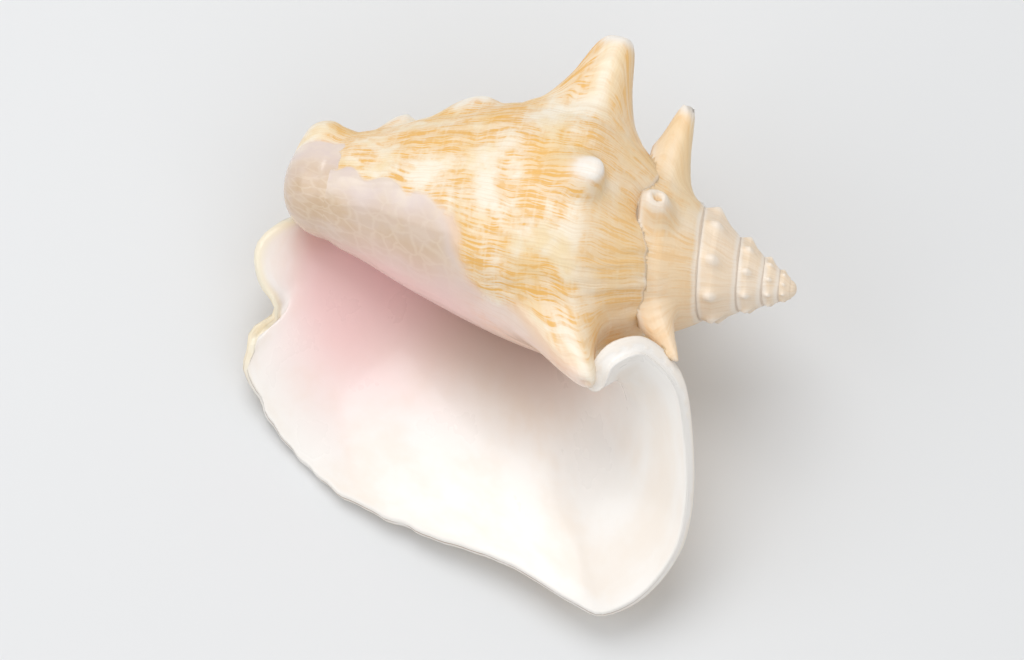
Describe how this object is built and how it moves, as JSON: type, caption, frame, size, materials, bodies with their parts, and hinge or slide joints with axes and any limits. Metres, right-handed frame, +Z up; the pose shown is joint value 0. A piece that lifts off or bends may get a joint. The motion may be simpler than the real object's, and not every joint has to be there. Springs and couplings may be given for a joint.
{
  "type": "conch shell",
  "caption": "Large right-handed conch shell lying on its back: knobbed spire, spined body whorl, open spiral throat and a broad flared lip",
  "frame": {"origin": "middle of the footprint's box, on the surface that the shell rests on", "axes": "+X along the coiling axis toward the tip of the spire, -Y toward the flared lip, +Z up out of the aperture"},
  "size_m": [0.228, 0.222, 0.1324],
  "materials": {
    "shell": "cream and golden-streaked outside, glossy rose to white inside the lip"
  },
  "bodies": {
    "root": {"conch_shell": "shell"}
  },
  "joints": []
}
